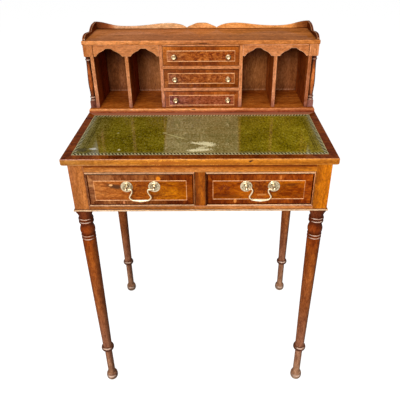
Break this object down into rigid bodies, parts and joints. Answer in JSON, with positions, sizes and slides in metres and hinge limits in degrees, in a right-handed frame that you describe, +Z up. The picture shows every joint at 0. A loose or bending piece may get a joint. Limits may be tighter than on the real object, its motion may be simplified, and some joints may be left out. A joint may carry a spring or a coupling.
{
  "type": "writing desk",
  "caption": "Small writing desk on turned legs with a leather top, long drawers with brass pulls, and an upper part of pigeonholes and small drawers under a galleried shelf.",
  "frame": {"origin": "on the floor, midway between the sides, and midway between the drawer pulls' foremost point and the back edge of the desktop", "axes": "+Z up, +X to the sitter's right, +Y away from the sitter, towards the upper part's back"},
  "size_m": [0.62, 0.461, 0.9695],
  "materials": {
    "polished_wood": "polished",
    "top_veneer": "polished",
    "front_veneer": "polished",
    "burr_veneer": "polished",
    "back_panel": "satin",
    "drawer_lining": "matte",
    "green_leather": "polished",
    "antique_brass": "satin",
    "steel": "satin"
  },
  "bodies": {
    "desk": {"leg_front_left": "polished_wood", "leg_front_right": "polished_wood", "leg_back_left": "polished_wood", "leg_back_right": "polished_wood", "leg_bolts": "steel", "corner_posts": "polished_wood", "side_aprons": "polished_wood", "back_apron": "polished_wood", "front_top_rail": "polished_wood", "front_bottom_rail": "polished_wood", "centre_stile": "polished_wood", "drawer_runners": "drawer_lining", "base_bead": "polished_wood", "top_board": "top_veneer", "top_lipping": "polished_wood", "desk_leather": "green_leather", "upper_base_board": "polished_wood", "upper_sides": "polished_wood", "upper_back_panel": "back_panel", "pigeonhole_dividers": "polished_wood", "nest_sides": "polished_wood", "nest_rails": "polished_wood", "valances": "polished_wood", "frieze_blocks": "polished_wood", "columns": "polished_wood", "top_shelf": "polished_wood", "gallery_back": "polished_wood", "gallery_sides": "polished_wood", "fixing_screws": "steel"},
    "left_drawer": {"left_drawer_front": "front_veneer", "left_drawer_sides": "drawer_lining", "left_drawer_back": "drawer_lining", "left_drawer_bottom": "drawer_lining", "left_drawer_cock_bead": "polished_wood", "left_drawer_rosettes": "antique_brass", "left_drawer_pull_posts": "antique_brass"},
    "left_bail": {"left_drawer_bail": "antique_brass"},
    "right_drawer": {"right_drawer_front": "front_veneer", "right_drawer_sides": "drawer_lining", "right_drawer_back": "drawer_lining", "right_drawer_bottom": "drawer_lining", "right_drawer_cock_bead": "polished_wood", "right_drawer_rosettes": "antique_brass", "right_drawer_pull_posts": "antique_brass"},
    "right_bail": {"right_drawer_bail": "antique_brass"},
    "bottom_small_drawer": {"bottom_small_drawer_front": "burr_veneer", "bottom_small_drawer_sides": "drawer_lining", "bottom_small_drawer_back": "drawer_lining", "bottom_small_drawer_bottom": "drawer_lining", "bottom_small_drawer_knobs": "antique_brass"},
    "middle_small_drawer": {"middle_small_drawer_front": "burr_veneer", "middle_small_drawer_sides": "drawer_lining", "middle_small_drawer_back": "drawer_lining", "middle_small_drawer_bottom": "drawer_lining", "middle_small_drawer_knobs": "antique_brass"},
    "top_small_drawer": {"top_small_drawer_front": "burr_veneer", "top_small_drawer_sides": "drawer_lining", "top_small_drawer_back": "drawer_lining", "top_small_drawer_bottom": "drawer_lining", "top_small_drawer_knobs": "antique_brass"}
  },
  "joints": [
    {"name": "left_drawer_slide", "type": "slide", "parent": "desk", "child": "left_drawer", "axis": [0, -1, 0], "range_m": [0, 0.3]},
    {"name": "left_bail_hinge", "type": "hinge", "parent": "left_drawer", "child": "left_bail", "pos_m": [-0.1385, -0.2265, 0.683], "axis": [-1, 0, 0], "range_deg": [0, 90]},
    {"name": "right_drawer_slide", "type": "slide", "parent": "desk", "child": "right_drawer", "axis": [0, -1, 0], "range_m": [0, 0.3]},
    {"name": "right_bail_hinge", "type": "hinge", "parent": "right_drawer", "child": "right_bail", "pos_m": [0.1385, -0.2265, 0.683], "axis": [-1, 0, 0], "range_deg": [0, 90]},
    {"name": "bottom_small_drawer_slide", "type": "slide", "parent": "desk", "child": "bottom_small_drawer", "axis": [0, -1, 0], "range_m": [0, 0.11]},
    {"name": "middle_small_drawer_slide", "type": "slide", "parent": "desk", "child": "middle_small_drawer", "axis": [0, -1, 0], "range_m": [0, 0.11]},
    {"name": "top_small_drawer_slide", "type": "slide", "parent": "desk", "child": "top_small_drawer", "axis": [0, -1, 0], "range_m": [0, 0.11]}
  ]
}
